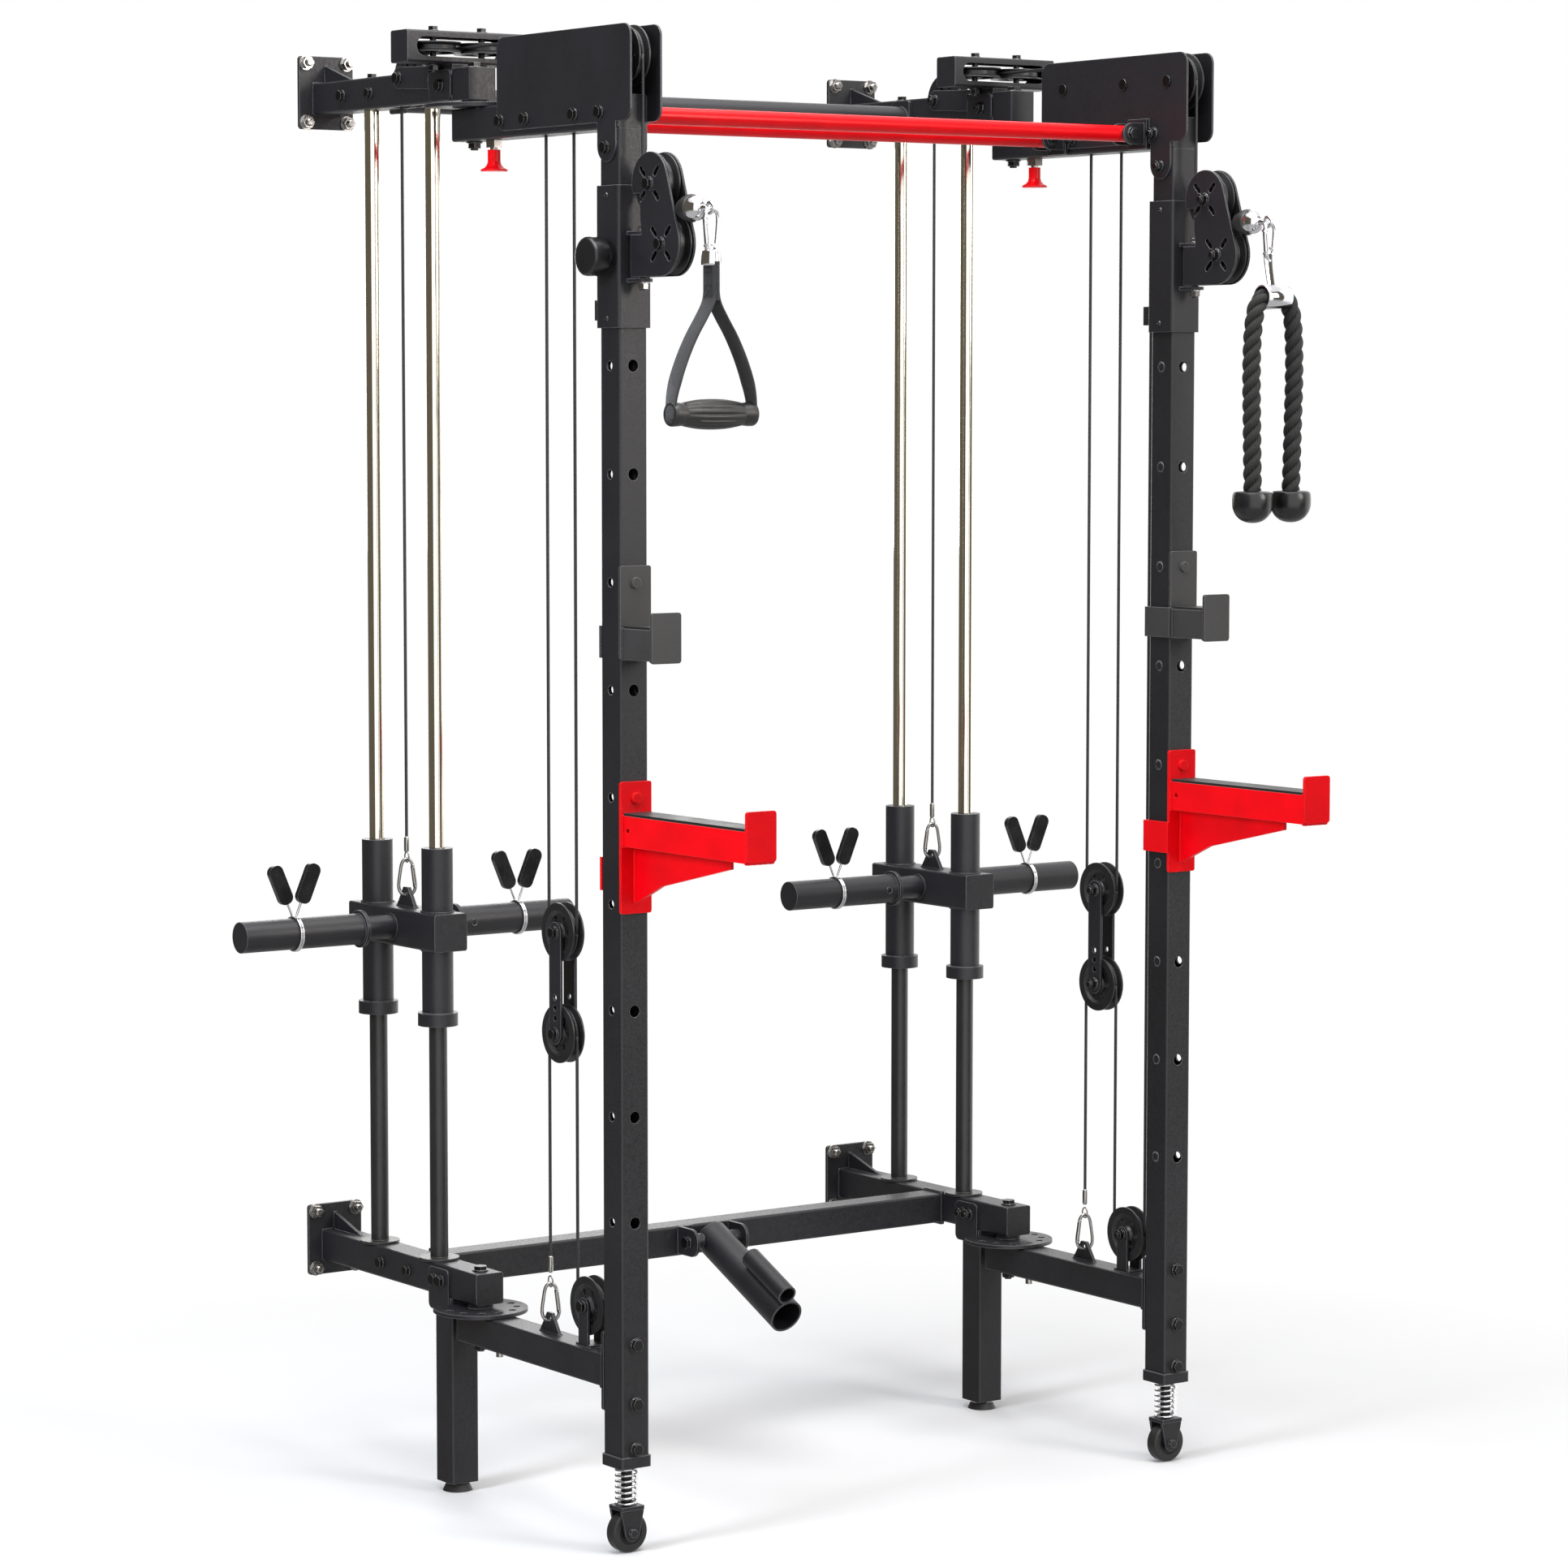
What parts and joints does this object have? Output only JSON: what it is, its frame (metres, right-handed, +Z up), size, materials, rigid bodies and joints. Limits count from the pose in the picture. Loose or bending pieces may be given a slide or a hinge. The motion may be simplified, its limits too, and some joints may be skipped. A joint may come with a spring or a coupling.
{
  "type": "functional trainer",
  "caption": "Wall-mounted folding functional trainer with plate-loaded cable carriages, rack arms, pull-up bars and a swivel bar socket.",
  "frame": {"origin": "centre of the bounding box at floor level", "axes": "+X along the wall to the viewer's right, +Y towards the wall, +Z up"},
  "size_m": [1.672, 1.2312, 2.3111],
  "materials": {
    "black_powder": "fine textured black powder coat",
    "black_satin": "satin black",
    "red_gloss": "gloss red",
    "red_plastic": "gloss red",
    "black_plastic": "satin",
    "chrome": "polished",
    "zinc": "zinc plated",
    "bolt_steel": "satin",
    "cable": "coated wire rope",
    "rubber": "matt",
    "webbing": "woven nylon",
    "rope": "twisted nylon"
  },
  "bodies": {
    "wall_frame": {"top_wall_arms": "black_powder", "base_wall_arms": "black_powder", "rear_legs": "black_powder", "levelling_feet": "rubber", "base_crossmember": "black_powder", "rear_crossbar": "black_powder", "guide_rods": "chrome", "rod_stand_tubes": "black_satin", "pulley_boxes": "black_powder", "box_wheels": "black_plastic", "frame_fasteners": "bolt_steel", "cables": "cable", "caster_springs": "chrome"},
    "landmine": {"landmine_tubes": "black_powder"},
    "front_bar": {"front_pull_up_bar": "red_gloss"},
    "rear_bar": {"rear_pull_up_bar": "red_gloss"},
    "left_arm": {"left_upright": "black_powder", "left_top_arm": "black_powder", "left_lower_arm": "black_powder", "left_arm_fasteners": "bolt_steel"},
    "left_trolley": {"left_trolley_sleeve": "black_powder"},
    "left_index_knob": {"left_trolley_pin": "black_plastic"},
    "left_head": {"left_trolley_head": "black_powder"},
    "left_cable_handle": {"left_handle": "webbing"},
    "left_head_upper_wheel": {"left_head_upper_pulley": "black_plastic"},
    "left_head_lower_wheel": {"left_head_lower_pulley": "black_plastic"},
    "left_fold_pins": {"left_lock_pins": "red_plastic"},
    "left_hook": {"left_j_hook": "black_powder"},
    "left_spotter": {"left_spotter_arm": "red_gloss"},
    "left_caster": {"left_caster_fork": "zinc"},
    "left_caster_roll": {"left_caster_wheel": "rubber"},
    "left_block": {"left_block_frame": "black_powder"},
    "left_block_upper_wheel": {"left_block_upper_pulley": "black_plastic"},
    "left_block_lower_wheel": {"left_block_lower_pulley": "black_plastic"},
    "left_front_wheel": {"left_front_pulley": "black_plastic"},
    "left_base_wheel": {"left_base_pulley": "black_plastic"},
    "left_rear_wheel": {"left_rear_pulley": "black_plastic"},
    "left_weight_carriage": {"left_carriage": "black_powder"},
    "right_arm": {"right_upright": "black_powder", "right_top_arm": "black_powder", "right_lower_arm": "black_powder", "right_arm_fasteners": "bolt_steel"},
    "right_trolley": {"right_trolley_sleeve": "black_powder"},
    "right_index_knob": {"right_trolley_pin": "black_plastic"},
    "right_head": {"right_trolley_head": "black_powder"},
    "right_cable_handle": {"right_rope": "rope"},
    "right_head_upper_wheel": {"right_head_upper_pulley": "black_plastic"},
    "right_head_lower_wheel": {"right_head_lower_pulley": "black_plastic"},
    "right_fold_pins": {"right_lock_pins": "red_plastic"},
    "right_hook": {"right_j_hook": "black_powder"},
    "right_spotter": {"right_spotter_arm": "red_gloss"},
    "right_caster": {"right_caster_fork": "zinc"},
    "right_caster_roll": {"right_caster_wheel": "rubber"},
    "right_block": {"right_block_frame": "black_powder"},
    "right_block_upper_wheel": {"right_block_upper_pulley": "black_plastic"},
    "right_block_lower_wheel": {"right_block_lower_pulley": "black_plastic"},
    "right_front_wheel": {"right_front_pulley": "black_plastic"},
    "right_base_wheel": {"right_base_pulley": "black_plastic"},
    "right_rear_wheel": {"right_rear_pulley": "black_plastic"},
    "right_weight_carriage": {"right_carriage": "black_powder"}
  },
  "joints": [
    {"name": "left_carriage_lift", "type": "slide", "parent": "wall_frame", "child": "left_weight_carriage", "axis": [0, 0, 1], "range_m": [0, 1], "deforming": ["cables"]},
    {"name": "left_arm_fold", "type": "hinge", "parent": "wall_frame", "child": "left_arm", "pos_m": [-0.53, 0.15365, 0], "axis": [0, 0, -1], "range_deg": [0, 90]},
    {"name": "left_rear_wheel_spin", "type": "hinge", "parent": "wall_frame", "child": "left_rear_wheel", "pos_m": [-0.53, 0.33265, 2.2395], "axis": [1, 0, 0], "continuous": true},
    {"name": "left_trolley_slide", "type": "slide", "parent": "left_arm", "child": "left_trolley", "axis": [0, 0, 1], "range_m": [-0.32, 0]},
    {"name": "left_index_knob_pull", "type": "slide", "parent": "left_trolley", "child": "left_index_knob", "axis": [-1, 0, 0], "range_m": [0, 0.015], "stiffness_N_per_m": 600, "springref_m": -0.004},
    {"name": "left_head_swivel", "type": "hinge", "parent": "left_trolley", "child": "left_head", "pos_m": [-0.53, -0.31435, 1.945], "axis": [0, 0, 1], "range_deg": [-90, 90]},
    {"name": "left_handle_pull", "type": "slide", "parent": "left_head", "child": "left_cable_handle", "axis": [0, -1, 0], "range_m": [0, 1]},
    {"name": "left_head_upper_spin", "type": "hinge", "parent": "left_head", "child": "left_head_upper_wheel", "pos_m": [-0.53, -0.35295, 2.05], "axis": [1, 0, 0], "continuous": true},
    {"name": "left_head_lower_spin", "type": "hinge", "parent": "left_head", "child": "left_head_lower_wheel", "pos_m": [-0.53, -0.38235, 1.962], "axis": [1, 0, 0], "continuous": true},
    {"name": "left_fold_pin_pull", "type": "slide", "parent": "left_arm", "child": "left_fold_pins", "axis": [0, 0, -1], "range_m": [0, 0.012], "stiffness_N_per_m": 1500, "springref_m": -0.012},
    {"name": "left_hook_height", "type": "slide", "parent": "left_arm", "child": "left_hook", "axis": [0, 0, 1], "range_m": [-0.16, 0.16]},
    {"name": "left_spotter_height", "type": "slide", "parent": "left_arm", "child": "left_spotter", "axis": [0, 0, 1], "range_m": [-0.48, 0.16]},
    {"name": "left_caster_travel", "type": "slide", "parent": "left_arm", "child": "left_caster", "axis": [0, 0, 1], "range_m": [0, 0.015], "stiffness_N_per_m": 6000, "springref_m": -0.003, "deforming": ["caster_springs"]},
    {"name": "left_caster_roll_spin", "type": "hinge", "parent": "left_caster", "child": "left_caster_roll", "pos_m": [-0.53, -0.26235, 0.031], "axis": [0, 1, 0], "continuous": true},
    {"name": "left_block_lift", "type": "slide", "parent": "left_arm", "child": "left_block", "axis": [0, 0, 1], "range_m": [0, 0.16]},
    {"name": "left_block_upper_spin", "type": "hinge", "parent": "left_block", "child": "left_block_upper_wheel", "pos_m": [-0.53, -0.09035, 0.9265], "axis": [1, 0, 0], "continuous": true},
    {"name": "left_block_lower_spin", "type": "hinge", "parent": "left_block", "child": "left_block_lower_wheel", "pos_m": [-0.53, -0.09035, 0.7705], "axis": [1, 0, 0], "continuous": true},
    {"name": "left_front_wheel_spin", "type": "hinge", "parent": "left_arm", "child": "left_front_wheel", "pos_m": [-0.53, -0.27575, 2.2395], "axis": [1, 0, 0], "continuous": true},
    {"name": "left_base_wheel_spin", "type": "hinge", "parent": "left_arm", "child": "left_base_wheel", "pos_m": [-0.53, -0.16755, 0.362], "axis": [1, 0, 0], "continuous": true},
    {"name": "right_carriage_lift", "type": "slide", "parent": "wall_frame", "child": "right_weight_carriage", "axis": [0, 0, 1], "range_m": [0, 1]},
    {"name": "right_arm_fold", "type": "hinge", "parent": "wall_frame", "child": "right_arm", "pos_m": [0.53, 0.15365, 0], "axis": [0, 0, 1], "range_deg": [0, 90]},
    {"name": "right_rear_wheel_spin", "type": "hinge", "parent": "wall_frame", "child": "right_rear_wheel", "pos_m": [0.53, 0.33265, 2.2395], "axis": [1, 0, 0], "continuous": true},
    {"name": "right_trolley_slide", "type": "slide", "parent": "right_arm", "child": "right_trolley", "axis": [0, 0, 1], "range_m": [-0.32, 0]},
    {"name": "right_index_knob_pull", "type": "slide", "parent": "right_trolley", "child": "right_index_knob", "axis": [1, 0, 0], "range_m": [0, 0.015], "stiffness_N_per_m": 600, "springref_m": -0.004},
    {"name": "right_head_swivel", "type": "hinge", "parent": "right_trolley", "child": "right_head", "pos_m": [0.53, -0.31435, 1.945], "axis": [0, 0, -1], "range_deg": [-90, 90]},
    {"name": "right_handle_pull", "type": "slide", "parent": "right_head", "child": "right_cable_handle", "axis": [0, -1, 0], "range_m": [0, 1]},
    {"name": "right_head_upper_spin", "type": "hinge", "parent": "right_head", "child": "right_head_upper_wheel", "pos_m": [0.53, -0.35295, 2.05], "axis": [1, 0, 0], "continuous": true},
    {"name": "right_head_lower_spin", "type": "hinge", "parent": "right_head", "child": "right_head_lower_wheel", "pos_m": [0.53, -0.38235, 1.962], "axis": [1, 0, 0], "continuous": true},
    {"name": "right_fold_pin_pull", "type": "slide", "parent": "right_arm", "child": "right_fold_pins", "axis": [0, 0, -1], "range_m": [0, 0.012], "stiffness_N_per_m": 1500, "springref_m": -0.012},
    {"name": "right_hook_height", "type": "slide", "parent": "right_arm", "child": "right_hook", "axis": [0, 0, 1], "range_m": [-0.16, 0.16]},
    {"name": "right_spotter_height", "type": "slide", "parent": "right_arm", "child": "right_spotter", "axis": [0, 0, 1], "range_m": [-0.48, 0.16]},
    {"name": "right_caster_travel", "type": "slide", "parent": "right_arm", "child": "right_caster", "axis": [0, 0, 1], "range_m": [0, 0.015], "stiffness_N_per_m": 6000, "springref_m": -0.003},
    {"name": "right_caster_roll_spin", "type": "hinge", "parent": "right_caster", "child": "right_caster_roll", "pos_m": [0.53, -0.26235, 0.031], "axis": [0, 1, 0], "continuous": true},
    {"name": "right_block_lift", "type": "slide", "parent": "right_arm", "child": "right_block", "axis": [0, 0, 1], "range_m": [0, 0.16]},
    {"name": "right_block_upper_spin", "type": "hinge", "parent": "right_block", "child": "right_block_upper_wheel", "pos_m": [0.53, -0.09035, 0.9265], "axis": [1, 0, 0], "continuous": true},
    {"name": "right_block_lower_spin", "type": "hinge", "parent": "right_block", "child": "right_block_lower_wheel", "pos_m": [0.53, -0.09035, 0.7705], "axis": [1, 0, 0], "continuous": true},
    {"name": "right_front_wheel_spin", "type": "hinge", "parent": "right_arm", "child": "right_front_wheel", "pos_m": [0.53, -0.27575, 2.2395], "axis": [1, 0, 0], "continuous": true},
    {"name": "right_base_wheel_spin", "type": "hinge", "parent": "right_arm", "child": "right_base_wheel", "pos_m": [0.53, -0.16755, 0.362], "axis": [1, 0, 0], "continuous": true},
    {"name": "front_bar_fold", "type": "hinge", "parent": "left_arm", "child": "front_bar", "pos_m": [-0.471, -0.20835, 2.158], "axis": [0, 1, 0], "range_deg": [0, 90]},
    {"name": "rear_bar_fold", "type": "hinge", "parent": "left_arm", "child": "rear_bar", "pos_m": [-0.471, -0.00285, 2.158], "axis": [0, 1, 0], "range_deg": [0, 90]},
    {"name": "landmine_pitch", "type": "hinge", "parent": "wall_frame", "child": "landmine", "pos_m": [0, 0.27065, 0.342], "axis": [-1, 0, 0], "range_deg": [-60, 95]}
  ],
  "couplings": [
    {"joint": "left_handle_pull", "follows": "left_carriage_lift", "ratio": 1},
    {"joint": "left_rear_wheel_spin", "follows": "left_carriage_lift", "rad_per_m": 25.907},
    {"joint": "left_front_wheel_spin", "follows": "left_carriage_lift", "rad_per_m": 25.907},
    {"joint": "left_block_upper_spin", "follows": "left_carriage_lift", "rad_per_m": -25.907},
    {"joint": "left_head_upper_spin", "follows": "left_carriage_lift", "rad_per_m": -25.907},
    {"joint": "left_block_lift", "follows": "left_trolley_slide", "ratio": -0.5},
    {"joint": "left_base_wheel_spin", "follows": "left_trolley_slide", "rad_per_m": -25.907},
    {"joint": "left_block_lower_spin", "follows": "left_trolley_slide", "rad_per_m": 12.953},
    {"joint": "right_handle_pull", "follows": "right_carriage_lift", "ratio": 1},
    {"joint": "right_rear_wheel_spin", "follows": "right_carriage_lift", "rad_per_m": 25.907},
    {"joint": "right_front_wheel_spin", "follows": "right_carriage_lift", "rad_per_m": 25.907},
    {"joint": "right_block_upper_spin", "follows": "right_carriage_lift", "rad_per_m": -25.907},
    {"joint": "right_head_upper_spin", "follows": "right_carriage_lift", "rad_per_m": -25.907},
    {"joint": "right_block_lift", "follows": "right_trolley_slide", "ratio": -0.5},
    {"joint": "right_base_wheel_spin", "follows": "right_trolley_slide", "rad_per_m": -25.907},
    {"joint": "right_block_lower_spin", "follows": "right_trolley_slide", "rad_per_m": 12.953}
  ]
}
